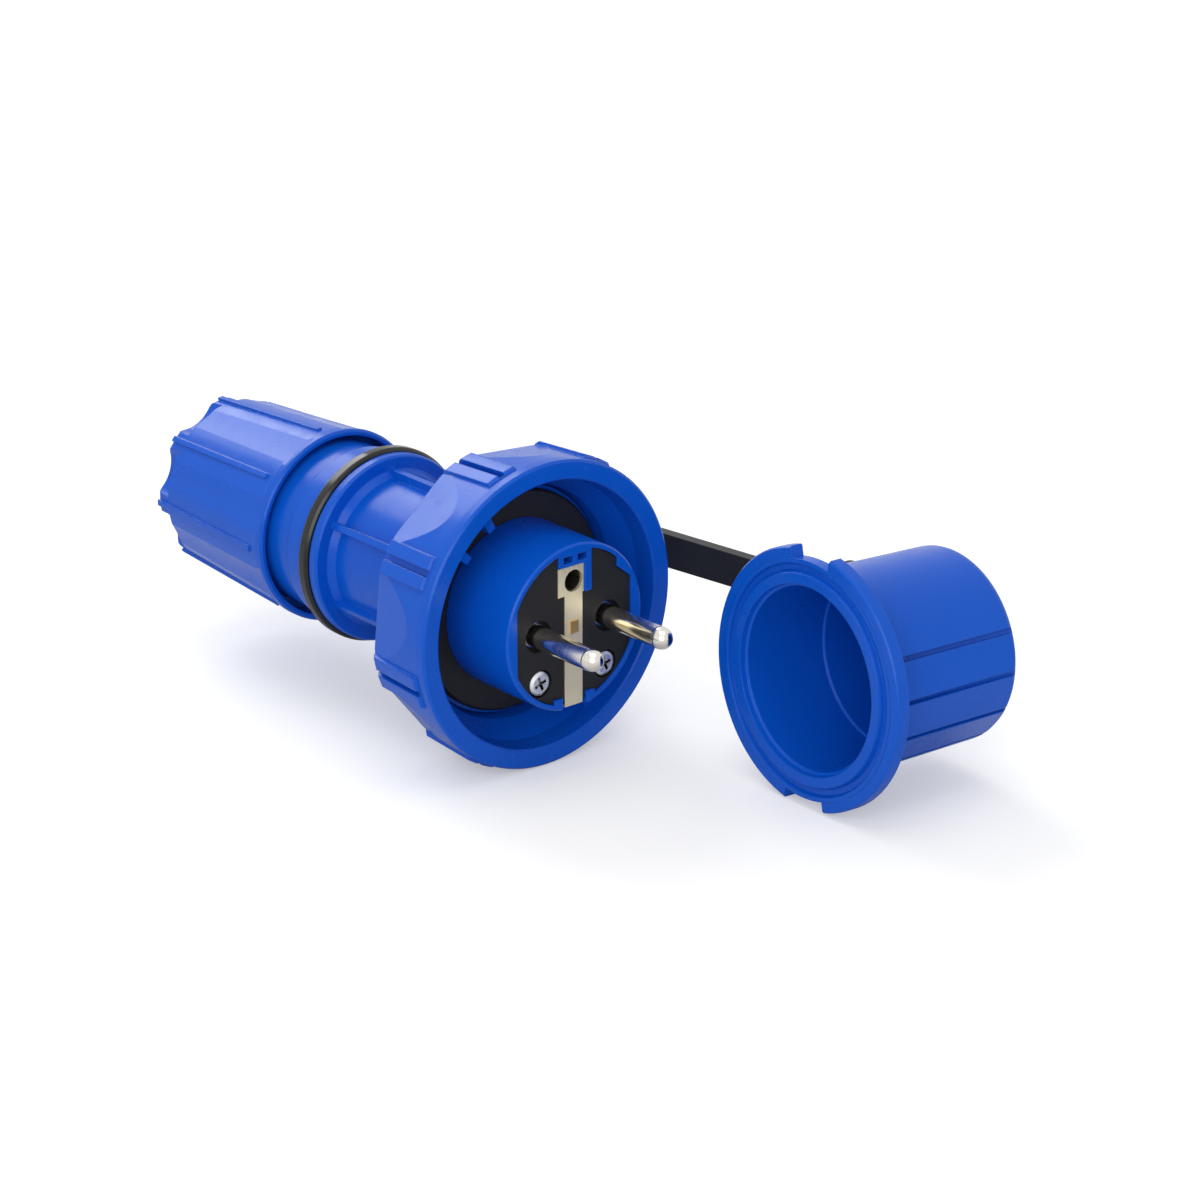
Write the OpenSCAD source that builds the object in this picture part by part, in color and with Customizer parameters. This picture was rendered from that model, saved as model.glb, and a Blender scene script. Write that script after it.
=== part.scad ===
// Watertight earthed power plug: two line pins and an earth socket in a round
// nose, a turning bayonet collar, a ribbed barrel with a cable gland, and a
// screw-on protective cap held by a rubber tether.
// X runs along the plug's axis towards the pins, Z is up, and the origin is
// the centre of the nose's front edge. Sizes are in millimetres.

/* [Pins and contacts] */
// Diameter of the line pins
pin_d = 4.8; // [4:0.1:5.2]
// Length of the pins in front of the nose
pin_l = 19; // [16:0.5:21]
// Distance between the line pins
pin_pitch = 19; // [18:0.25:20]
// Length of the pin's narrowing tip
pin_tip_l = 3; // [2:0.25:4]
// Diameter of the earth socket's hole
earth_hole_d = 4.9; // [4.6:0.1:5.2]
// Height of the earth socket above the line pins
earth_offset = 10.3; // [9.8:0.1:10.6]
// Width of the earth strip
earth_strip_w = 4.8; // [4:0.1:5.2]
// Thickness of the earth strip
earth_strip_t = 0.8; // [0.6:0.1:1]
// Wall of the earth socket's tube
earth_tube_wall = 0.8; // [0.6:0.1:1]
// Diameter of a pin's terminal end
terminal_d = 5.8; // [5.4:0.1:6]
// Length of a terminal end behind the carrier
terminal_l = 11; // [9:0.5:12]
// Diameter of a wire's hole in a terminal
wire_hole_d = 3.2; // [2.6:0.1:3.4]
// Diameter of a terminal screw's thread
terminal_screw_d = 3; // [2.5:0.1:3.4]

/* [Nose and carrier] */
// Diameter of the nose
nose_d = 37; // [36.5:0.25:38]
// Length of the nose in front of the gasket
nose_l = 20; // [19:0.5:23]
// Thickness of the nose's rim
nose_rim = 1.2; // [1.1:0.1:1.3]
// Distance between the flats of the contact carrier
carrier_flats = 31.4; // [31:0.1:32]
// How far the carrier's face lies behind the rim
face_recess = 0.6; // [0.3:0.1:1]
// Length of the carrier's wide front part
carrier_front_l = 16; // [12:0.5:18]
// Diameter of the carrier's narrow rear part
carrier_rear_d = 27.4; // [27.2:0.1:27.6]
// Thickness of the cover behind the carrier
cover_t = 2.5; // [2:0.25:3]
// Head diameter of the carrier's screws
screw_head_d = 6; // [5:0.1:6]
// Thread diameter of the carrier's screws
screw_d = 2.9; // [2.5:0.1:3.2]
// Distance between the carrier's screws
screw_pitch = 17.8; // [17.4:0.1:17.9]
// Distance of the carrier's screws below the line pins
screw_drop = 10.8; // [10.2:0.1:10.8]

/* [Sealing and locking collar] */
// Thickness of the face gasket
gasket_t = 1.6; // [1.2:0.1:2.4]
// How far the gasket's edge lies inside the head flange's
gasket_inset = 0.7; // [0.3:0.1:1.5]
// Thickness of the head flange behind the gasket
head_t = 1.8; // [1.5:0.1:3]
// Diameter of the head flange
head_d = 50.4; // [50:0.2:52]
// Diameter of the bearing that the collar turns on
bearing_d = 42.4; // [42:0.1:43]
// Outer diameter of the collar's front
collar_d = 68; // [66:0.5:70]
// Outer diameter of the collar's back
collar_back_d = 66; // [65:0.1:67]
// Length of the collar
collar_l = 18.8; // [17:0.2:20]
// Diameter of the collar's mouth
mouth_d = 59.2; // [58.6:0.1:60]
// Thickness of the collar's back wall
collar_wall = 3.8; // [3:0.1:5]
// Number of grips round the collar
collar_grips = 8; // [6:1:10]
// Radius of the bayonet lugs' inner ends
lug_r = 24; // [23.6:0.1:24.6]
// Angle that the collar turns through
collar_turn = 60; // [45:1:70]

/* [Barrel] */
// Diameter of the barrel between its ribs
barrel_d = 33.6; // [33:0.2:35]
// Diameter over the barrel's ribs
rib_d = 37.2; // [36.4:0.2:38]
// Width of a barrel rib
rib_w = 1.6; // [1.2:0.1:2.4]
// Number of barrel ribs
rib_count = 6; // [5:1:8]
// Length of the barrel behind the collar, over its rear flange
barrel_l = 36; // [32:0.5:42]
// Diameter of the barrel's rear flange
flange_d = 42; // [41.4:0.1:42.3]
// Thickness of the barrel's rear flange
flange_t = 2.4; // [2:0.1:3.2]
// Diameter of the seat that the tether ring turns on
seat_d = 38; // [37.6:0.1:38.4]
// Diameter of the shoulder behind the tether ring
shoulder_d = 39.4; // [39:0.1:40]
// Length of the neck that shows between the ring and the nut
neck_show = 12.6; // [11:0.2:15]
// Bore through the barrel
barrel_bore_d = 28; // [27.8:0.1:28.4]

/* [Cable gland] */
// Outer diameter of the nut's front rim
nut_d = 43.4; // [42.6:0.2:45]
// Outer diameter of the nut's rear end
nut_rear_d = 37.6; // [37:0.2:38.4]
// Length of the nut
nut_l = 41; // [39:0.5:44]
// Thread diameter between neck and nut
thread_d = 35; // [34.6:0.1:35.2]
// Length of the thread
thread_l = 15; // [12:0.5:16]
// Diameter of the nut's cable hole
nut_hole_d = 18; // [16:0.5:20]
// Number of ribs and lobes round the nut
nut_lobes = 8; // [6:1:10]
// Bore of the cable seal
seal_bore_d = 13; // [10:0.5:14]
// Outer diameter of the cable seal
seal_d = 23; // [22:0.5:24]
// Number of fingers on the clamp cage
cage_fingers = 8; // [6:1:10]

/* [Tether] */
// Width of the tether ring along the plug
ring_w = 3; // [2.4:0.1:3.6]
// Outer diameter of the tether ring
ring_d = 43.6; // [43.2:0.2:46]
// Height of the strap
strap_h = 7.6; // [6:0.2:9]
// Thickness of the strap
strap_t = 2.5; // [2:0.1:3]
// Bend radius where the strap leaves the ring
strap_bend = 14; // [12:0.5:16]
// Angle between the strap and the plug's axis
strap_angle = 8.8; // [7:0.2:10]
// Bend radius where the strap meets the cap
strap_end_bend = 6; // [5:0.5:8]
// Diameter of the strap's eye
eye_d = 10; // [9:0.5:11]
// Diameter of the stud that holds the eye
stud_d = 5; // [4:0.25:6]

/* [Cap] */
// Bore of the cap
cap_bore_d = 39.7; // [39:0.1:40.2]
// Body diameter beside the cap's flange
cap_d = 43.8; // [43.4:0.2:45]
// Body diameter at the cap's closed end
cap_end_d = 42.2; // [41.6:0.2:43]
// Thickness of the cap's closed end
cap_floor = 2.2; // [1.4:0.1:3]
// Length of the cap's flange
cap_flange_l = 4; // [3:0.25:5]
// Radius of the flange between its cams
flange_r = 26; // [25.6:0.1:26.4]
// Radius of the cams
cam_r = 28.4; // [27.8:0.1:28.8]
// Angle between the end of one cam and the start of the next
cam_gap = 25; // [20:1:35]
// Distance of the cap's mouth centre in front of the nose
cap_x = 42.4; // [42:0.2:46]
// Distance of the cap's mouth beside the plug's axis
cap_y = 26.5; // [26:0.1:28]
// Angle that the cap's axis turns forwards
cap_yaw = 1.3; // [0:0.1:3]
// Angle that the cap's closed end hangs down
cap_droop = 2.2; // [0:0.1:3]

/* [Fits] */
// Radial clearance of pieces that turn
turn_play = 0.05; // [0.02:0.01:0.08]
// Clearance of pieces that are fixed
fit_play = 0.1; // [0.05:0.01:0.2]
// Axial clearance beside pieces that turn
side_play = 0.2; // [0.1:0.05:0.3]

/* [Hidden] */
$fn = 96;
eps = 0.01;
blue = "#1f56c4";
black = "#242426";
nickel = "#c9c2ae";
steel = "#c8cace";
brass = "#c9a24a";

// Stations along the axis, from the nose back to the nut
x_gasket = -nose_l - gasket_t;
x_head = x_gasket - head_t;
x_collar_wall = x_head - side_play;
x_collar_back = x_collar_wall - collar_wall;
x_collar_front = x_collar_back + collar_l;
x_bearing = x_collar_back - 1;
x_barrel_end = x_collar_back - barrel_l;
x_flange = x_barrel_end + flange_t;
x_ring = x_barrel_end - side_play;
x_shoulder = x_ring - ring_w - side_play;
shoulder_l = 6;
x_nut = x_shoulder - neck_show;
nut_recess_l = 6;
x_thread = x_nut - nut_recess_l;
x_neck_end = x_thread - thread_l;
x_nut_end = x_nut - nut_l;
lobe_l = 5;
scallop_l = 4;
scallop_r = 8;
scallop_deep_r = 16.2;
facet_r = 40;
facet_from = 5.4;
facet_deep = 0.3;
rib_at = 4;
rib_from = 4.5;
nut_rib_w = 1.3;
rib_proud = 0.6;
rib_t = 1;
nut_floor_t = 3;
x_nut_floor = x_nut_end + lobe_l + nut_floor_t;

// Nose, carrier and contacts
nose_r = nose_d / 2;
carrier_r = nose_r - nose_rim;
x_step = -face_recess - carrier_front_l;
x_cover = x_head;
x_cover_back = x_cover - cover_t;
x_terminal_end = x_cover_back - terminal_l;
pocket_r = carrier_rear_d / 2 + fit_play;
x_pocket_end = x_cover_back - 3;
pin_shoulder_d = pin_d + 2.4;
pin_shoulder_t = 2;
pin_moat_d = pin_d + 2.2;
pin_moat_l = 1.6;
pin_shank_d = pin_d + 0.6;
x_moat = -face_recess - pin_moat_l;
nose_bevel = 0.4;
gasket_seat_r = nose_r - 0.5;
gasket_d = head_d - 2 * gasket_inset;
screw_y = screw_pitch / 2;
screw_head_t = 1.9;
screw_l = 22;
boss_r = screw_head_d / 2 + 0.5;
boss_l = 9;
strip_proud = 0.2;
x_strip = -face_recess + strip_proud;
x_strip_back = x_strip - earth_strip_t;
strip_leg_l = 15;
strip_bottom = nose_r - 0.8;
strip_head_half = 4.2;
strip_head_top = earth_offset + 3.4;
strip_head_low = earth_offset - 3;
earth_tube_d = earth_hole_d + 2 * earth_tube_wall;
earth_tube_l = 14;
arm_y = earth_hole_d / 2 + 0.4;
arm_t = 1.1;
jaw_z = 15.4;
jaw_y = earth_strip_w / 2 + 0.9;
wire_hole_l = 8;
bridge_from = -4.2;
bridge_to = 4.6;
bridge_pocket_w = 2.6;
bridge_pocket_l = 3;
key_l = 3;
key_in = 11.9;
key_out = 15.9;
key_low = 7.4;
key_high = 10.6;
jaw_half = 1.1;
jaw_l = 4;
terminal_screw_x = x_terminal_end + 3.5;
terminal_head_d = terminal_screw_d + 1.6;
terminal_head_t = 1.8;

// Neck and gland
thread_r = thread_d / 2;
nut_recess_r = nut_d / 2 - 1.3;
neck_r = nut_recess_r - 1.5;
cage_ring_r = thread_r - 2.4;
cage_ring_l = 6;
cage_bore_r = seal_d / 2 + fit_play;
slip_t = 2.2;
x_slip = x_nut_floor + fit_play;
x_cage_end = x_slip + slip_t + fit_play;
cage_tip_r = cage_bore_r + 1.9;
cone_gap = 0.5;
seal_l = 20;
nut_lip_l = 2.4;

// Bayonet lugs: a toothed block that runs out into a low ramp
lug_from = 117.5;
lug_to = 141.5;
lug_ramp_to = 170;
lug_tooth = 4.4;
lug_back_r = 27;
lug_ramp_r = 27.3;
lug_t = 4;
x_lug = x_collar_front - 3.8;
grip_groove_at = 107;
grip_groove_w = 1.5;
grip_groove_deep = 0.7;
grip_band = 12;
band_proud = 0.7;
band_root_back = collar_back_d / 2 - 2;
band_root_front = (collar_d + mouth_d) / 4;
grip_step_deep = 0.4;
stop_half = 4;
stop_r = bearing_d / 2 + 1.2;
stop_at = -90;

// Cap, whose own axis runs along Y with its mouth facing the plug
cap_depth = nose_l + pin_l + 0.3;
cap_l = cap_depth + cap_floor;
cam_start = 104;
cam_span = 180 - cam_gap;
cap_z = -cam_r * sin(cam_start + cam_span) - collar_d / 2;
mouth_r = 20.8;
mouth_lip_r = 22.9;
mouth_groove_l = 1.2;
cap_front = 0.3;
cap_round = 2.5;
grip_step = 25;
grip_gap = 1.1;
grip_gap_deep = 0.8;
cap_core_l = cap_flange_l - 0.9;
grip_start = 9;
grip_from = 24;
grips_a_side = 3;
stud_along = 34;
stud_y = cap_y + stud_along;
stud_seat_x = cap_x - cap_d / 2 + 0.4;
stud_head_d = stud_d + 3;
stud_head_t = 1.3;

// Strap route: out from the ring, round a bend, straight past the collar, and
// round a second bend to lie flat against the stud's seat
strap_x0 = x_ring - ring_w / 2;
strap_x1 = stud_seat_x - side_play - strap_t / 2;
bend0_end_x = strap_x0 + strap_bend * (1 - sin(strap_angle));
bend1_start_x = strap_x1 - strap_end_bend * (1 - sin(strap_angle));
bend1_end_y = stud_y - eye_d / 2 + 1.2;
bend1_start_y = bend1_end_y - strap_end_bend * cos(strap_angle);
bend0_end_y = bend1_start_y - (bend1_start_x - bend0_end_x) * tan(strap_angle);
bend0_start_y = bend0_end_y - strap_bend * cos(strap_angle);
bend_steps = 12;
strap_root_y = ring_d / 2 + 1.5;

// ---- Helpers ----

// A solid of revolution about the plug's axis; points are [radius, x]
module turned(points) {
    rotate([0, 90, 0]) rotate_extrude() polygon(points);
}

// A plain ring about the plug's axis from x0 back to x1
module ring_x(outer_r, inner_r, x0, x1) {
    turned([[inner_r, x0], [outer_r, x0], [outer_r, x1], [inner_r, x1]]);
}

// A rod along the plug's axis at the place (y, z), from x0 back to x1
module rod_x(d, x0, x1, y = 0, z = 0) {
    translate([x1, y, z]) rotate([0, 90, 0]) cylinder(d = d, h = x0 - x1);
}

// A part of a ring between two angles, counted from +Y towards +Z
module sector_x(outer_r, inner_r, x0, x1, from, to) {
    rotate([from, 0, 0]) translate([x1, 0, 0]) rotate([0, 0, 90]) rotate([90, 0, 0])
        rotate_extrude(angle = to - from) translate([inner_r, 0]) square([outer_r - inner_r, x0 - x1]);
}

// A block given by its lowest and highest corners
module block(low, high) {
    translate(low) cube(high - low);
}

// Copies of a child at even angles about the plug's axis
module around_x(count, start = 0) {
    for (i = [0 : count - 1]) rotate([start + i * 360 / count, 0, 0]) children();
}

// The carrier's face outline, a circle between two upright flats, carried back
module face_prism(play, x0, x1) {
    intersection() {
        rod_x(2 * (carrier_r - play), x0, x1);
        block([x1, -carrier_flats / 2 + play, -nose_d], [x0, carrier_flats / 2 - play, nose_d]);
    }
}

// ---- Housing: nose, head flange, barrel and threaded neck in one moulding ----

module housing_outside() {
    turned([
        [0, 0], [nose_r - nose_bevel, 0], [nose_r, -nose_bevel], [nose_r, -nose_l],
        [gasket_seat_r, -nose_l], [gasket_seat_r, x_gasket],
        [head_d / 2, x_gasket], [head_d / 2, x_head],
        [bearing_d / 2, x_head], [bearing_d / 2, x_bearing],
        [barrel_d / 2 + 1.2, x_bearing], [barrel_d / 2, x_bearing - 4],
        [barrel_d / 2, x_flange + 1.5], [barrel_d / 2 + 1.2, x_flange],
        [flange_d / 2 - 0.4, x_flange], [flange_d / 2, x_flange - 0.6],
        [flange_d / 2, x_barrel_end], [seat_d / 2, x_barrel_end],
        [seat_d / 2, x_shoulder], [shoulder_d / 2, x_shoulder],
        [shoulder_d / 2, x_shoulder - shoulder_l], [neck_r, x_shoulder - shoulder_l - 0.6],
        [neck_r, x_thread], [thread_r, x_thread],
        [thread_r, x_neck_end], [0, x_neck_end]
    ]);
    around_x(rib_count, 30)
        block([x_flange - 1, barrel_d / 2 - 1, -rib_w / 2], [x_bearing + 0.5, rib_d / 2, rib_w / 2]);
    sector_x(stop_r, bearing_d / 2 - 1, x_head + 0.5, x_bearing + 0.4, stop_at - stop_half, stop_at + stop_half);
}

module housing_inside() {
    face_prism(0, 1, x_step);
    rod_x(2 * pocket_r, x_step + eps, x_pocket_end);
    rod_x(barrel_bore_d, x_pocket_end + eps, x_shoulder);
    rod_x(2 * cage_bore_r, x_shoulder + eps, x_neck_end - 1);
    rod_x(2 * (cage_ring_r + fit_play), x_neck_end + cage_ring_l, x_neck_end - 1);
}

// Bosses behind the carrier's screws
module screw_bosses(play) {
    for (side = [-1, 1])
        rod_x(2 * (boss_r + play), x_step + play, x_step - boss_l, side * screw_y, -screw_drop);
}

// The bridge over the earth socket, the arm beside it, the corner key and the
// jaws beside the strip; the carrier has a matching notch for each
module nose_keys(play) {
    block([x_step - play, bridge_from - play, strip_head_top + 0.2 - play], [0, bridge_to + play, nose_r - 0.5]);
    block([-arm_t - play, arm_y - play, strip_head_low - play], [0, bridge_to + play, strip_head_top + 1]);
    translate([-key_l - play, 0, 0]) rotate([90, 0, 90]) linear_extrude(key_l + play)
        polygon([[key_in - play, key_high + 2.4], [key_in - play, key_high - play],
                 [key_out, key_low - play], [key_out + 0.5, key_low + 0.6]]);
    for (side = [-1, 1])
        block([-jaw_l - play, side * (jaw_y + jaw_half) - jaw_half - play, -nose_r + 0.7],
              [0, side * (jaw_y + jaw_half) + jaw_half + play, -jaw_z + play]);
}

module housing() {
    color(blue) difference() {
        union() {
            difference() {
                housing_outside();
                housing_inside();
            }
            intersection() {
                screw_bosses(0);
                rod_x(2 * (carrier_r + 0.5), x_step, x_step - boss_l);
            }
            intersection() {
                nose_keys(0);
                rod_x(2 * (carrier_r + 0.5), 0, x_step);
            }
        }
        for (side = [-1, 1])
            rod_x(screw_d + 2 * fit_play, x_step + 1, x_step - boss_l - 1, side * screw_y, -screw_drop);
        // Slot for the strip's leg, open at the nose's front and underside
        block([-strip_leg_l - 1.5, -jaw_y, -nose_r - 1], [1, jaw_y, -jaw_z - 1.2]);
        // Pockets in the bridge
        for (y = [bridge_from + 1.2, bridge_to - 1.2 - bridge_pocket_w])
            block([-bridge_pocket_l, y, strip_head_top + 0.9], [1, y + bridge_pocket_w, strip_head_top + 2.5]);
    }
}

// ---- Sealing and locking ----

module face_gasket() {
    x_front = -nose_l - fit_play;
    inner_r = gasket_seat_r + fit_play;
    color(black) turned([
        [inner_r, x_front], [gasket_d / 2 - 0.5, x_front], [gasket_d / 2, x_front - 0.5],
        [gasket_d / 2, x_gasket], [inner_r, x_gasket]
    ]);
}

module collar_shell() {
    bore_r = bearing_d / 2 + turn_play;
    front_r = collar_d / 2;
    back_r = collar_back_d / 2;
    turned([
        [bore_r, x_collar_back], [back_r - 0.8, x_collar_back], [back_r, x_collar_back + 0.8],
        [front_r, x_collar_front - 2.4], [front_r, x_collar_front - 0.5],
        [front_r - 0.5, x_collar_front], [mouth_d / 2 + 0.4, x_collar_front],
        [mouth_d / 2, x_collar_front - 0.4], [mouth_d / 2 - 0.6, x_collar_front - 5],
        [head_d / 2 + 0.7, x_collar_front - 10.6], [head_d / 2 + 0.3, x_collar_wall], [bore_r, x_collar_wall]
    ]);
}

// A flat, tongue-shaped grip that deepens towards the collar's back
module collar_tongue() {
    half = (360 / collar_grips - grip_band) / 2;
    run = 0.75 * collar_l;
    low = collar_back_d / 2 * cos(half) - grip_step_deep;
    half_w = collar_back_d / 2 * sin(half);
    tilt = atan((collar_d / 2 - low) / run);
    translate([x_collar_back, 0, low]) rotate([0, -tilt, 0])
        block([-collar_wall, -half_w, 0], [run + collar_wall, half_w, collar_d / 4]);
}

// The raised bands between the tongues, which stand proud of the collar's front
module collar_bands() {
    back_r = collar_back_d / 2 + band_proud;
    front_r = collar_d / 2 + band_proud;
    half_w = collar_back_d / 2 * sin(grip_band / 2) + 0.3;
    intersection() {
        turned([
            [band_root_back, x_collar_back + 0.3], [back_r - 0.9, x_collar_back + 0.3],
            [back_r, x_collar_back + 1.2], [front_r, x_collar_front - 3.4],
            [front_r - 0.5, x_collar_front - 2.7], [band_root_front, x_collar_front - 2.7]
        ]);
        around_x(collar_grips, grip_groove_at - 90)
            block([x_collar_back - 1, -half_w, 0], [x_collar_front, half_w, collar_d]);
    }
}

// A groove along the middle of the raised band between two tongues
module collar_groove() {
    slope = atan((collar_d - collar_back_d) / 2 / collar_l);
    translate([x_collar_back, 0, collar_back_d / 2 - grip_groove_deep]) rotate([0, -slope, 0])
        block([-1, -grip_groove_w / 2, 0], [collar_l - 2.8, grip_groove_w / 2, collar_wall]);
}

module collar_tongues() {
    around_x(collar_grips, grip_groove_at - 90 + 180 / collar_grips) collar_tongue();
}

module bayonet_lug() {
    x_back = x_lug - lug_t;
    wall_r = mouth_d / 2 + 0.6;
    sector_x(wall_r, lug_back_r, x_lug, x_back, lug_from, lug_to);
    sector_x(wall_r, lug_ramp_r, x_lug - 1, x_back + 0.6, lug_to - 1, lug_ramp_to);
    for (at = [lug_from, lug_to - lug_tooth])
        sector_x(lug_back_r + 0.5, lug_r, x_lug, x_back, at, at + lug_tooth);
}

module locking_collar() {
    color(blue) {
        difference() {
            union() {
                difference() {
                    collar_shell();
                    collar_tongues();
                }
                collar_bands();
            }
            around_x(collar_grips, grip_groove_at - 90) collar_groove();
            // Slot that the housing's stop runs in
            sector_x(stop_r + 0.3, bearing_d / 2 - 1, x_collar_wall + 1, x_collar_back - 1,
                     stop_at - stop_half - collar_turn - 1, stop_at + stop_half + 1);
        }
        for (turn = [0, 180]) rotate([turn, 0, 0]) bayonet_lug();
    }
}

// ---- Contact insert ----

module contact_carrier() {
    color(black) difference() {
        union() {
            face_prism(fit_play, -face_recess, x_step);
            rod_x(carrier_rear_d, x_step + eps, x_cover);
        }
        screw_bosses(fit_play);
        intersection() {
            nose_keys(fit_play);
            rod_x(nose_d + 1, 1, x_step - 1);
        }
        for (side = [-1, 1]) {
            rod_x(pin_shank_d + 2 * fit_play, 1, x_cover - 1, side * pin_pitch / 2);
            rod_x(pin_moat_d, 1, x_moat, side * pin_pitch / 2);
            rod_x(pin_shoulder_d + 2 * fit_play, x_cover + pin_shoulder_t, x_cover - 1, side * pin_pitch / 2);
            rod_x(screw_d + 2 * fit_play, 1, x_step - 1, side * screw_y, -screw_drop);
            rod_x(screw_head_d + 2 * fit_play, 1, -face_recess - screw_head_t, side * screw_y, -screw_drop);
        }
        // Bed of the earth strip and of its leg
        block([x_strip_back, -earth_strip_w / 2 - fit_play, -nose_r], [1, earth_strip_w / 2 + fit_play, strip_head_low + 1]);
        block([x_strip_back, -strip_head_half - fit_play, strip_head_low - fit_play],
              [1, arm_y, strip_head_top + 0.2]);
        block([-strip_leg_l - 1, -earth_strip_w / 2 - fit_play, -nose_r],
              [1, earth_strip_w / 2 + fit_play, -strip_bottom + earth_strip_t + fit_play]);
        rod_x(earth_tube_d + 2 * fit_play, 1, x_strip_back - earth_tube_l - fit_play, 0, earth_offset);
        rod_x(terminal_d + 2 * fit_play, 1, x_cover - 1, 0, earth_offset);
    }
}

module carrier_cover() {
    color(black) difference() {
        rod_x(carrier_rear_d, x_cover, x_cover_back);
        screw_bosses(fit_play);
        for (side = [-1, 1]) rod_x(terminal_d + 2 * fit_play, x_cover + 1, x_cover_back - 1, side * pin_pitch / 2);
        rod_x(terminal_d + 2 * fit_play, x_cover + 1, x_cover_back - 1, 0, earth_offset);
    }
}

// Terminal end with a wire hole and a threaded cross hole, on the place (y, z)
module terminal(x0, y, z, up) {
    difference() {
        rod_x(terminal_d, x0, x_terminal_end, y, z);
        rod_x(wire_hole_d, x_terminal_end + wire_hole_l, x_terminal_end - 1, y, z);
        translate([terminal_screw_x, y, z]) rotate([up > 0 ? 0 : 180, 0, 0])
            cylinder(d = terminal_screw_d + 2 * fit_play, h = terminal_d);
    }
}

module line_contact(side) {
    y = side * pin_pitch / 2;
    color(nickel) {
        rod_x(pin_d, pin_l - pin_tip_l, x_moat - 1, y);
        rod_x(pin_shank_d, x_moat, x_cover, y);
        translate([0, y, 0]) turned([
            [0, pin_l - pin_tip_l], [pin_d / 2, pin_l - pin_tip_l],
            [pin_d / 2 - 0.45, pin_l - 1.3], [pin_d / 2 - 0.9, pin_l - 0.4], [pin_d / 2 - 1.5, pin_l], [0, pin_l]
        ]);
        rod_x(pin_shoulder_d, x_cover + pin_shoulder_t, x_cover, y);
        terminal(x_cover, y, 0, 1);
    }
}

module line_pin() { line_contact(-1); }

module neutral_pin() { line_contact(1); }

module earth_strip() {
    color(nickel) difference() {
        union() {
            block([x_strip_back, -earth_strip_w / 2, -strip_bottom], [x_strip, earth_strip_w / 2, strip_head_low + 1]);
            block([x_strip_back, -strip_head_half, strip_head_low], [x_strip, arm_y - fit_play, strip_head_top]);
            block([-strip_leg_l, -earth_strip_w / 2, -strip_bottom],
                  [x_strip, earth_strip_w / 2, -strip_bottom + earth_strip_t]);
        }
        rod_x(earth_hole_d, 1, x_strip_back - 1, 0, earth_offset);
        rod_x(1.2 + 2 * fit_play, 1, x_strip_back - 1);
    }
}

module earth_rivet() {
    color(brass) {
        rod_x(1.2, x_strip, x_strip_back);
        block([x_strip, -1.1, -1.4], [x_strip + 0.3, 1.1, 1.4]);
    }
}

module earth_socket() {
    x_tube_end = x_strip_back - earth_tube_l;
    color(brass) {
        difference() {
            rod_x(earth_tube_d, x_strip_back, x_tube_end, 0, earth_offset);
            rod_x(earth_hole_d, x_strip_back + 1, x_tube_end + 1, 0, earth_offset);
        }
        terminal(x_tube_end + 0.5, 0, earth_offset, -1);
    }
}

// Pan-head screw with a cross recess
module carrier_screw(side) {
    y = side * screw_y;
    x_under = -face_recess - screw_head_t;
    color(steel) difference() {
        union() {
            translate([0, y, -screw_drop]) turned([
                [0, -face_recess], [screw_head_d / 2 - 1, -face_recess], [screw_head_d / 2 - 0.3, -face_recess - 0.4],
                [screw_head_d / 2, -face_recess - 1], [screw_head_d / 2, x_under], [0, x_under]
            ]);
            rod_x(screw_d, x_under + eps, x_under - screw_l, y, -screw_drop);
        }
        translate([-face_recess, y, -screw_drop]) rotate([20, 0, 0]) {
            cube([2.2, 0.75, 3.2], center = true);
            cube([2.2, 3.2, 0.75], center = true);
        }
    }
}

module left_carrier_screw() { carrier_screw(-1); }

module right_carrier_screw() { carrier_screw(1); }

// Slotted clamping screw over the wire hole of a terminal
module terminal_screw(y, z, up) {
    head_z = terminal_d / 2 + 0.6;
    color(steel) translate([terminal_screw_x, y, z]) rotate([up > 0 ? 0 : 180, 0, 0]) difference() {
        union() {
            translate([0, 0, 0.4]) cylinder(d = terminal_screw_d, h = head_z);
            translate([0, 0, head_z]) cylinder(d = terminal_head_d, h = terminal_head_t);
        }
        translate([0, 0, head_z + terminal_head_t]) cube([terminal_head_d + 1, 0.8, 1.6], center = true);
    }
}

module line_terminal_screw() { terminal_screw(-pin_pitch / 2, 0, 1); }

module neutral_terminal_screw() { terminal_screw(pin_pitch / 2, 0, 1); }

module earth_terminal_screw() { terminal_screw(0, earth_offset, -1); }

// ---- Cable gland ----

module cable_seal() {
    color(black) turned([
        [seal_bore_d / 2, x_cage_end], [seal_d / 2 - 1.5, x_cage_end], [seal_d / 2, x_cage_end + 1.5],
        [seal_d / 2, x_cage_end + seal_l], [seal_bore_d / 2 + 1.5, x_cage_end + seal_l],
        [seal_bore_d / 2, x_cage_end + seal_l - 1.5]
    ]);
}

module clamp_cage() {
    color(black) difference() {
        turned([
            [cage_bore_r, x_neck_end + cage_ring_l], [cage_ring_r, x_neck_end + cage_ring_l],
            [cage_ring_r, x_neck_end - 0.5], [cage_tip_r, x_cage_end], [cage_bore_r, x_cage_end]
        ]);
        around_x(cage_fingers)
            block([x_cage_end - 1, 0, -0.7], [x_neck_end - 1, cage_ring_r + 1, 0.7]);
    }
}

module slip_ring() {
    color(nickel) ring_x(cage_tip_r + cone_gap - fit_play, nut_hole_d / 2, x_slip + slip_t, x_slip);
}

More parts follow.
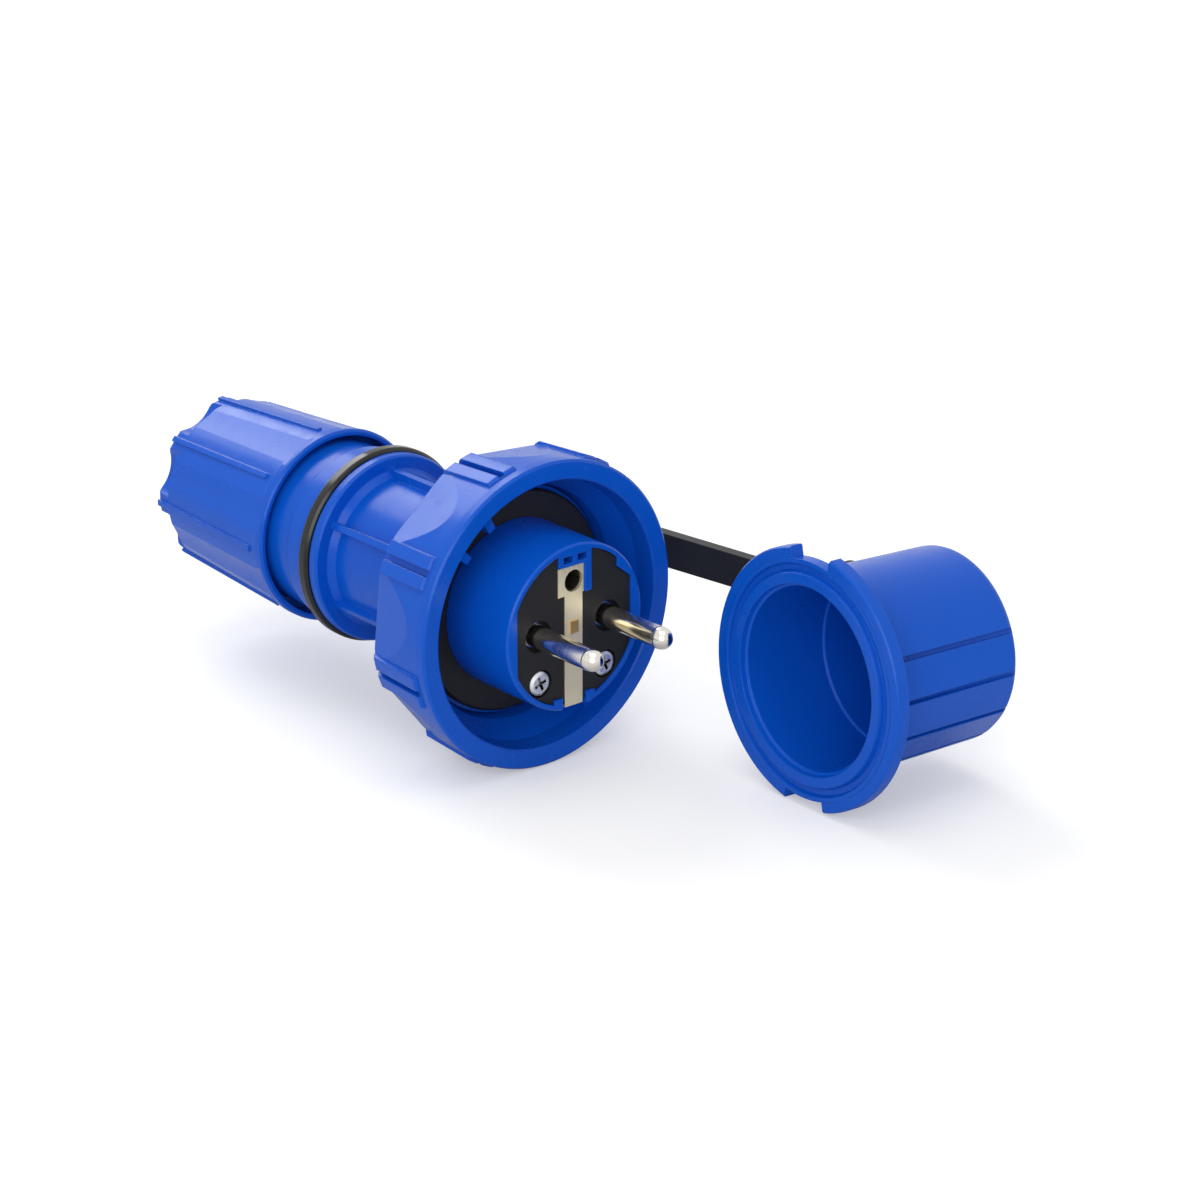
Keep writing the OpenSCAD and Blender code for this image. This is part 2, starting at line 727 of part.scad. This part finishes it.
module nut_shell() {
    outer_r = nut_d / 2;
    rear_r = nut_rear_d / 2;
    turned([
        [nut_recess_r, x_nut], [outer_r - 0.5, x_nut], [outer_r, x_nut - 0.5], [outer_r, x_nut - nut_lip_l],
        [outer_r - 0.3, x_nut - nut_lip_l - 0.4], [rear_r, x_nut_end + 1], [rear_r - 0.3, x_nut_end + 0.3], [rear_r - 1, x_nut_end],
        [rear_r - 4.2, x_nut_end], [rear_r - 4.6, x_nut_end + lobe_l], [nut_hole_d / 2, x_nut_end + lobe_l],
        [nut_hole_d / 2, x_nut_floor], [cage_tip_r + cone_gap, x_nut_floor],
        [cage_tip_r + cone_gap, x_cage_end], [cage_ring_r + cone_gap, x_neck_end - 0.8],
        [thread_r + turn_play, x_neck_end - 0.8], [thread_r + turn_play, x_thread - side_play],
        [nut_recess_r, x_thread - side_play]
    ]);
}

// How far the nut's cone leans in from a point at its front to one at its rear
function lean(front, rear) = atan((front[1] - rear[1]) / (front[0] - rear[0]));

// Shallow dished facet between two ribs of the nut
module nut_facet() {
    front = [x_nut - facet_from, nut_d / 2 - 0.9];
    rear = [x_nut_end, nut_rear_d / 2 - facet_deep];
    translate([front[0], 0, front[1] + facet_r]) rotate([0, -lean(front, rear), 0]) rotate([0, -90, 0])
        translate([0, 0, -1.5]) cylinder(r = facet_r, h = nut_l + 7.5);
}

// Slim rib along the nut
module nut_rib() {
    front = [x_nut - rib_from, nut_d / 2];
    rear = [x_nut_end + 0.6, nut_rear_d / 2 + rib_proud];
    translate([rear[0], 0, rear[1]]) rotate([0, -lean(front, rear), 0])
        block([0, -nut_rib_w / 2, -rib_t], [front[0] - rear[0], nut_rib_w / 2, 0]);
}

// Round bite out of the nut's rear rim, which parts it into lobes
module nut_scallop() {
    translate([x_nut_end - 1, 0, scallop_deep_r + scallop_r]) rotate([0, 90, 0])
        cylinder(r = scallop_r, h = scallop_l + 1);
}

module gland_nut() {
    color(blue) {
        difference() {
            nut_shell();
            around_x(nut_lobes, rib_at + 180 / nut_lobes - 90) {
                nut_facet();
                nut_scallop();
            }
        }
        around_x(nut_lobes, rib_at - 90) nut_rib();
    }
}

// ---- Tether ----

// Points on the strap's middle line, moved sideways by an offset
function strap_side(offset) = concat(
    [[strap_x0 - offset, strap_root_y]],
    [for (i = [0 : bend_steps]) let (turn = 90 - (90 - strap_angle) * i / bend_steps)
        [strap_x0 + strap_bend - (strap_bend + offset) * sin(turn),
         bend0_start_y + (strap_bend + offset) * cos(turn)]],
    [for (i = [0 : bend_steps]) let (turn = strap_angle + (90 - strap_angle) * i / bend_steps)
        [bend1_start_x - strap_end_bend * sin(strap_angle) + (strap_end_bend - offset) * sin(turn),
         bend1_end_y - (strap_end_bend - offset) * cos(turn)]],
    [[strap_x1 - offset, stud_y - eye_d / 2 + 2]]
);

function reversed(list) = [for (i = [len(list) - 1 : -1 : 0]) list[i]];

module tether_ring() {
    color(black) {
        turned([
            [seat_d / 2 + turn_play, x_ring], [ring_d / 2 - 0.6, x_ring], [ring_d / 2, x_ring - 0.6],
            [ring_d / 2, x_ring - ring_w + 0.6], [ring_d / 2 - 0.6, x_ring - ring_w],
            [seat_d / 2 + turn_play, x_ring - ring_w]
        ]);
        block([strap_x0 - strap_t / 2, ring_d / 2 - 1, -strap_h / 2],
              [strap_x0 + strap_t / 2, strap_root_y, strap_h / 2]);
    }
}

module tether_strap() {
    color(black) difference() {
        union() {
            linear_extrude(strap_h, center = true)
                polygon(concat(strap_side(strap_t / 2), reversed(strap_side(-strap_t / 2))));
            rod_x(eye_d, strap_x1 + strap_t / 2, strap_x1 - strap_t / 2, stud_y);
        }
        rod_x(stud_d + 2 * turn_play, strap_x1 + strap_t, strap_x1 - strap_t, stud_y);
    }
}

// ---- Cap ----

module cap_outside() {
    end_r = cap_end_d / 2;
    rotate_extrude() polygon(concat(
        [[0, 0], [mouth_r, 0], [mouth_lip_r, 0], [mouth_lip_r + 0.5, mouth_groove_l],
         [flange_r - 1.4, mouth_groove_l], [flange_r - 1, cap_front], [flange_r, cap_front],
         [flange_r, cap_core_l], [cap_d / 2, cap_core_l]],
        [for (a = [0 : 15 : 90])
            [end_r - cap_round + cap_round * cos(a), cap_l - cap_round + cap_round * sin(a)]],
        [[0, cap_l]]
    ));
}

module cap_inside() {
    rotate_extrude() polygon([
        [0, -1], [mouth_r, -1], [mouth_r - 0.4, 1.3], [cap_bore_d / 2, 1.5],
        [cap_bore_d / 2 - 0.4, nose_l + 2], [cap_bore_d / 2 - 0.9, nose_l + 2.3],
        [cap_bore_d / 2 - 1.4, cap_depth], [0, cap_depth]
    ]);
}

// One cam that stands out from the flange
module cap_cam() {
    rotate([0, 0, -cam_start - cam_span]) rotate_extrude(angle = cam_span) polygon([
        [flange_r - 0.5, cap_front + 0.1], [cam_r - 0.4, cap_front + 0.1], [cam_r, cap_front + 0.5],
        [cam_r, cap_flange_l - 0.5], [cam_r - 0.3, cap_flange_l - 0.2], [flange_r - 0.5, cap_flange_l - 0.2]
    ]);
}

// Flat grips parted by grooves on one side of the cap
module cap_grip_cuts() {
    flat_r = cap_end_d / 2 * cos(grip_step / 2);
    slope = atan((cap_d - cap_end_d) / 2 / (cap_l - cap_flange_l));
    for (i = [0 : grips_a_side - 1]) rotate([0, 0, -grip_from + (i + 0.5) * grip_step])
        translate([flat_r, 0, cap_l]) rotate([0, -slope, 0])
            block([0, -cap_d / 4, -cap_l + grip_start - 2.5], [cap_d / 4, cap_d / 4, 5]);
    for (i = [0 : grips_a_side]) rotate([0, 0, -grip_from + i * grip_step])
        block([cap_end_d / 2 - grip_gap_deep, -grip_gap / 2, grip_start], [cap_d, grip_gap / 2, cap_l + 1]);
}

module cap_stud() {
    x_head_back = strap_x1 - strap_t / 2 - side_play;
    rod_x(eye_d, cap_x - cap_end_d / 2 + 7, stud_seat_x, stud_y);
    rod_x(stud_d, stud_seat_x + 1, x_head_back, stud_y);
    rod_x(stud_head_d, x_head_back, x_head_back - stud_head_t, stud_y);
}

// Puts a child that stands on its mouth at the cap's place
module at_cap() {
    translate([cap_x, cap_y, cap_z]) rotate([-90 - cap_droop, 0, -cap_yaw]) children();
}

module cap() {
    color(blue) difference() {
        union() {
            at_cap() {
                difference() {
                    cap_outside();
                    for (turn = [0, 180]) rotate([0, 0, turn]) cap_grip_cuts();
                }
                for (turn = [0, 180]) rotate([0, 0, turn]) cap_cam();
            }
            cap_stud();
        }
        at_cap() cap_inside();
    }
}

housing();
face_gasket();
locking_collar();
contact_carrier();
carrier_cover();
line_pin();
neutral_pin();
earth_strip();
earth_rivet();
earth_socket();
left_carrier_screw();
right_carrier_screw();
line_terminal_screw();
neutral_terminal_screw();
earth_terminal_screw();
cable_seal();
clamp_cage();
slip_ring();
gland_nut();
tether_ring();
tether_strap();
cap();
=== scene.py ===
"""Looks of a watertight earthed plug with a bayonet collar and a tethered cap.

Every CAD solid stays in view and gets a procedural finish. The rounded tips of the two
line pins are the only pieces that this script adds. Lengths are in metres.
"""

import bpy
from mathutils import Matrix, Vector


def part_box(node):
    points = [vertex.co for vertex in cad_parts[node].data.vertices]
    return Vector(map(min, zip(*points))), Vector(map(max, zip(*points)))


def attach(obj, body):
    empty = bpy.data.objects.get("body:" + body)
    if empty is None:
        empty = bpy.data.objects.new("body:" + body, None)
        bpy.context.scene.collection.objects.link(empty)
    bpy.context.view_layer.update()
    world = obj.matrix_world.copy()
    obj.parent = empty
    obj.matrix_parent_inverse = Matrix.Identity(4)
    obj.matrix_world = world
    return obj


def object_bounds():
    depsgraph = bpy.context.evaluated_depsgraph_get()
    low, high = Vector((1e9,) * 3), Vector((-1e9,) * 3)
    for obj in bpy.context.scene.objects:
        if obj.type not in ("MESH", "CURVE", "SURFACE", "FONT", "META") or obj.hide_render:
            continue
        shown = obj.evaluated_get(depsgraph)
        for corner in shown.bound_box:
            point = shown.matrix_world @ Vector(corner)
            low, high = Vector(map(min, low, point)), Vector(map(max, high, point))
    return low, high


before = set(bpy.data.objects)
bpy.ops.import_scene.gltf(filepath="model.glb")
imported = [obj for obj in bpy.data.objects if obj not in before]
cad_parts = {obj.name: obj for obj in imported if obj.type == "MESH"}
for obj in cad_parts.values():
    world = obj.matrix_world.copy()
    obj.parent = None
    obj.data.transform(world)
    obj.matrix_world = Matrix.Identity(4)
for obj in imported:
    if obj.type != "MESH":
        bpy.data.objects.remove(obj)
cad_box = [list(corner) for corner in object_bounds()]

import math

import bmesh
import bpy
from mathutils import Vector

scene = bpy.context.scene
MM = 0.001


# ---- Shader building ----

class Shader:
    """One material's node tree, with short calls for the nodes that the finishes share."""

    def __init__(self, name):
        self.material = bpy.data.materials.new(name)
        self.material.use_nodes = True
        self.tree = self.material.node_tree
        self.main = self.tree.nodes["Principled BSDF"]
        self.place = self.node("ShaderNodeTexCoord").outputs["Object"]

    def node(self, kind, **inputs):
        """A new node; an input's name is written in small letters with _ for each space."""
        made = self.tree.nodes.new(kind)
        for name, value in inputs.items():
            made.inputs[name.replace("_", " ").title()].default_value = value
        return made

    def link(self, out, into):
        self.tree.links.new(out, into)

    def stretched(self, scale):
        """The object's coordinates, scaled apart along each axis, for turned or rolled grain."""
        mapping = self.node("ShaderNodeMapping", scale=scale)
        self.link(self.place, mapping.inputs["Vector"])
        return mapping.outputs["Vector"]

    def noise(self, scale, detail, rough=0.5, place=None):
        """A cloud pattern with scale clouds to the metre, or at a place that is already scaled."""
        made = self.node("ShaderNodeTexNoise", scale=scale, detail=detail, roughness=rough)
        self.link(place or self.place, made.inputs["Vector"])
        return made.outputs["Fac"]

    def ramp(self, value, low, high, start=0.3, end=0.7):
        """Turns a pattern into a spread between two colours."""
        made = self.node("ShaderNodeValToRGB")
        for stop, at, colour in zip(made.color_ramp.elements, (start, end), (low, high)):
            stop.position = at
            stop.color = (*colour, 1)
        self.link(value, made.inputs["Fac"])
        return made.outputs["Color"]

    def span(self, value, low, high, start=0.3, end=0.7):
        """Turns a pattern into a spread between two numbers."""
        made = self.node("ShaderNodeMapRange", from_min=start, from_max=end, to_min=low, to_max=high)
        self.link(value, made.inputs["Value"])
        return made.outputs["Result"]

    def soft_edges(self, radius):
        """The surface's direction with its sharp edges rounded."""
        made = self.node("ShaderNodeBevel", radius=radius)
        made.samples = 6
        return made.outputs["Normal"]

    def painted_recess_shade(self, colour, reach, dark):
        """Paints shade into a colour: darkens it in slots and corners narrower than reach."""
        made = self.node("ShaderNodeAmbientOcclusion", distance=reach)
        made.samples = 8
        mixed = self.node("ShaderNodeMixRGB", color1=(*dark, 1))
        self.link(self.span(made.outputs["AO"], 0, 1, 0.3, 0.75), mixed.inputs["Fac"])
        self.link(colour, mixed.inputs["Color2"])
        return mixed.outputs["Color"]

    def bump(self, value, depth, normal):
        """Raises a pattern by depth on a surface whose direction is normal."""
        made = self.node("ShaderNodeBump", strength=1.0, distance=depth)
        self.link(value, made.inputs["Height"])
        self.link(normal, made.inputs["Normal"])
        return made.outputs["Normal"]


def shade(colour, factor):
    return tuple(min(1.0, c * factor) for c in colour)


def clouded(shader, colour, pattern, spread):
    """A tint that wanders by spread about a colour."""
    return shader.ramp(pattern, shade(colour, 1 - spread), shade(colour, 1 + spread))


def moulded(name, colour, gloss, spread, edge, grain, depth, specular):
    """Moulded plastic or rubber: a slightly clouded tint, a fine eroded grain and softened edges."""
    s = Shader(name)
    cloud = s.noise(55, detail=3)
    fine = s.noise(grain, detail=2, rough=0.6)
    patches = s.noise(240, detail=3)
    s.link(clouded(s, colour, cloud, spread), s.main.inputs["Base Color"])
    s.link(s.span(patches, gloss - 0.05, gloss + 0.05), s.main.inputs["Roughness"])
    s.link(s.bump(fine, depth, s.soft_edges(edge)), s.main.inputs["Normal"])
    s.main.inputs["Specular IOR Level"].default_value = specular
    return s.material


def metal(name, colour, gloss, spread, edge, stretch, depth, metallic=1.0, painted_shade_reach=None):
    """Turned, rolled or plated metal, with its grain finest along the axis that stretch scales most,
    and painted shade in its slots when given a reach.
    """
    s = Shader(name)
    grain = s.noise(1, detail=3, rough=0.6, place=s.stretched(stretch))
    tint = clouded(s, colour, s.noise(180, detail=2), spread)
    if painted_shade_reach:
        # Painted shade: the tint darkens to near black in slots and corners narrower than the reach.
        tint = s.painted_recess_shade(tint, painted_shade_reach, shade(colour, 0.04))
    s.link(tint, s.main.inputs["Base Color"])
    s.link(s.span(grain, gloss * 0.75, gloss * 1.35), s.main.inputs["Roughness"])
    s.link(s.bump(grain, depth, s.soft_edges(edge)), s.main.inputs["Normal"])
    s.main.inputs["Metallic"].default_value = metallic
    return s.material


# ---- Finishes of the CAD solids ----

BLUE = (0.002, 0.083, 0.52)
BLACK = (0.0145, 0.0145, 0.016)

blue_plastic = moulded(
    "blue_plastic", BLUE,
    gloss=0.24, spread=0.02, edge=0.4 * MM, grain=700, depth=0.0004 * MM, specular=0.19)
black_plastic = moulded(
    "black_plastic", BLACK,
    gloss=0.5, spread=0.12, edge=0.15 * MM, grain=3200, depth=0.012 * MM, specular=0.25)
black_rubber = moulded(
    "black_rubber", shade(BLACK, 0.8),
    gloss=0.52, spread=0.15, edge=0.3 * MM, grain=3600, depth=0.02 * MM, specular=0.35)
ring_rubber = moulded(
    "ring_rubber", shade(BLACK, 0.4),
    gloss=0.17, spread=0.15, edge=0.6 * MM, grain=900, depth=0.001 * MM, specular=0.42)
nickel = metal(
    "nickel_turned", (0.76, 0.72, 0.65),
    gloss=0.16, spread=0.05, edge=0.1 * MM, stretch=(5000, 60, 60), depth=0.0006 * MM)
rolled = metal(
    "nickel_rolled", (0.85, 0.77, 0.53), metallic=0.7,
    gloss=0.42, spread=0.05, edge=0.1 * MM, stretch=(60, 3800, 120), depth=0.0008 * MM)
# Painted shade: the earth socket's nickel is made dark so that the inside of its hole reads dark.
painted_dark_tube = metal(
    "nickel_tube_painted_shade", (0.26, 0.23, 0.18),
    gloss=0.4, spread=0.08, edge=0.1 * MM, stretch=(60, 900, 900), depth=0.001 * MM)
brass = metal(
    "brass_turned", (0.78, 0.49, 0.17), metallic=0.8,
    gloss=0.3, spread=0.08, edge=0.1 * MM, stretch=(3000, 80, 80), depth=0.003 * MM)
# The screws get painted shade in their cross recesses and slots.
zinc = metal(
    "zinc_steel", (0.84, 0.85, 0.87), painted_shade_reach=1.1 * MM,
    gloss=0.36, spread=0.04, edge=0.12 * MM, stretch=(900, 900, 900), depth=0.0004 * MM)

FINISHES = [
    (blue_plastic, ["housing", "locking_collar", "gland_nut", "cap"]),
    (black_plastic, ["contact_carrier", "carrier_cover", "clamp_cage", "slip_ring"]),
    (black_rubber, ["face_gasket", "tether_strap", "cable_seal"]),
    (ring_rubber, ["tether_ring"]),
    (nickel, ["line_pin", "neutral_pin"]),
    (rolled, ["earth_strip"]),
    (painted_dark_tube, ["earth_socket"]),
    (brass, ["earth_rivet"]),
    (zinc, ["left_carrier_screw", "right_carrier_screw",
            "line_terminal_screw", "neutral_terminal_screw", "earth_terminal_screw"]),
]
for finish, solids in FINISHES:
    for node in solids:
        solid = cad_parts[node]
        solid.data.materials.clear()
        solid.data.materials.append(finish)


# ---- Rounded tips of the line pins ----

PIN_R = 2.4 * MM
TIP_L = 3.3 * MM
# How far a tip stands in front of its pin, and how much wider it is
TIP_PROUD = 0.2 * MM
TIP_SKIN = 0.01 * MM
# How blunt the dome is: 2 is a plain half ellipse
TIP_POWER = 2.8
TIP_STEPS = 18
TURN_SEGMENTS = 72


def lathe(name, profile, finish):
    """A closed turned piece about an axis along X, from points (x, radius) that start and end on it."""
    shape = bmesh.new()
    rings = []
    for x, radius in profile:
        turns = [0] if radius == 0 else [math.tau * i / TURN_SEGMENTS for i in range(TURN_SEGMENTS)]
        rings.append([shape.verts.new((x, radius * math.cos(t), radius * math.sin(t))) for t in turns])
    for near, far in zip(rings, rings[1:]):
        for i in range(TURN_SEGMENTS):
            j = (i + 1) % TURN_SEGMENTS
            corners = [near[i % len(near)], near[j % len(near)], far[j % len(far)], far[i % len(far)]]
            shape.faces.new(list(dict.fromkeys(corners))).smooth = True
    bmesh.ops.recalc_face_normals(shape, faces=shape.faces)
    mesh = bpy.data.meshes.new(name)
    shape.to_mesh(mesh)
    shape.free()
    mesh.materials.append(finish)
    piece = bpy.data.objects.new(name, mesh)
    scene.collection.objects.link(piece)
    return piece


def tip_profile():
    """A blunt dome that starts on the pin's shaft, with its root inside the shaft."""
    reach = TIP_L + TIP_PROUD
    radius = PIN_R + TIP_SKIN
    root_x = -TIP_L - PIN_R / 4
    root = [(root_x, 0), (root_x, PIN_R * 0.9), (-TIP_L, PIN_R * 0.98)]
    ways = [math.sin(math.pi / 2 * i / TIP_STEPS) for i in range(TIP_STEPS)]
    dome = [(reach * t - TIP_L, radius * math.sqrt(1 - t ** TIP_POWER)) for t in ways]
    return root + dome + [(TIP_PROUD, 0)]


for node in ("line_pin", "neutral_pin"):
    near, far = Vector(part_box(node)[0]), Vector(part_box(node)[1])
    tip = lathe(node + "_tip", tip_profile(), nickel)
    tip.location = (far.x, (near.y + far.y) / 2, 0)
    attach(tip, "plug")


# ---- Floor ----

FLOOR_SIDE = 8
FLOOR_GAP = 0.05 * MM
FLOOR_GREY = 0.7
# What the camera sees on top of the floor's own light, so that the paper is near white
FLOOR_GLOW = 0.34
WHITE = (1, 1, 1, 1)

bpy.ops.mesh.primitive_plane_add(size=FLOOR_SIDE, location=(0, 0, cad_box[0][2] - FLOOR_GAP))
floor = bpy.context.object
floor.name = "studio_floor"

paper = Shader("studio_floor")
paper.main.inputs["Base Color"].default_value = (FLOOR_GREY, FLOOR_GREY, FLOOR_GREY, 1)
paper.main.inputs["Roughness"].default_value = 0.9
paper.main.inputs["Specular IOR Level"].default_value = 0.0
paper.main.inputs["Emission Color"].default_value = WHITE
glow = paper.node("ShaderNodeMath")
glow.operation = "MULTIPLY"
glow.inputs[1].default_value = FLOOR_GLOW
paper.link(paper.node("ShaderNodeLightPath").outputs["Is Camera Ray"], glow.inputs[0])
paper.link(glow.outputs[0], paper.main.inputs["Emission Strength"])
floor.data.materials.append(paper.material)


# ---- Light ----

AMBIENT = 0.6
# The point on the plug that the lamps face
LAMPS_AIM = Vector((-0.04, 0.01, 0))

world = bpy.data.worlds.new("studio")
scene.world = world
world.use_nodes = True
nodes, links = world.node_tree.nodes, world.node_tree.links
ambient = nodes["Background"]
ambient.inputs["Color"].default_value = WHITE
ambient.inputs["Strength"].default_value = AMBIENT
backdrop = nodes.new("ShaderNodeBackground")
backdrop.inputs["Color"].default_value = WHITE
path = nodes.new("ShaderNodeLightPath")
seen = path.outputs["Is Camera Ray"]
for ray in ("Is Glossy Ray", "Is Transmission Ray"):
    either = nodes.new("ShaderNodeMath")
    either.operation = "MAXIMUM"
    links.new(seen, either.inputs[0])
    links.new(path.outputs[ray], either.inputs[1])
    seen = either.outputs[0]
mix = nodes.new("ShaderNodeMixShader")
links.new(seen, mix.inputs["Fac"])
links.new(ambient.outputs[0], mix.inputs[1])
links.new(backdrop.outputs[0], mix.inputs[2])
links.new(mix.outputs[0], nodes["World Output"].inputs["Surface"])


def softbox(name, direction, distance, size, power):
    """A square area lamp that faces the plug from a direction."""
    lamp = bpy.data.lights.new(name, "AREA")
    lamp.size = size
    lamp.energy = power
    holder = bpy.data.objects.new(name, lamp)
    scene.collection.objects.link(holder)
    way = Vector(direction).normalized()
    holder.location = LAMPS_AIM + way * distance
    holder.rotation_mode = "QUATERNION"
    holder.rotation_quaternion = way.to_track_quat("Z", "Y")


softbox("key_softbox", (-0.8, 0.12, 0.58), distance=1.3, size=0.8, power=8.5)
softbox("front_softbox", (0.62, -0.72, 0.42), distance=1.8, size=1.3, power=15)
softbox("top_softbox", (0.1, -0.1, 1.0), distance=1.6, size=1.2, power=5)


# ---- Camera, at the photograph's angle ----

CAMERA_PLACE = (0.8889, -0.7577, 0.4638)
CAMERA_WAY = Vector((-0.7059, 0.6072, -0.3649))

camera = bpy.data.objects.new("camera", bpy.data.cameras.new("camera"))
scene.collection.objects.link(camera)
camera.data.lens = 180
camera.data.sensor_width = 36
camera.data.clip_start = 0.01
camera.data.clip_end = 50
camera.location = CAMERA_PLACE
camera.rotation_mode = "QUATERNION"
camera.rotation_quaternion = CAMERA_WAY.to_track_quat("-Z", "Y")
scene.camera = camera
scene.view_settings.view_transform = "Standard"

bpy.context.view_layer.update()
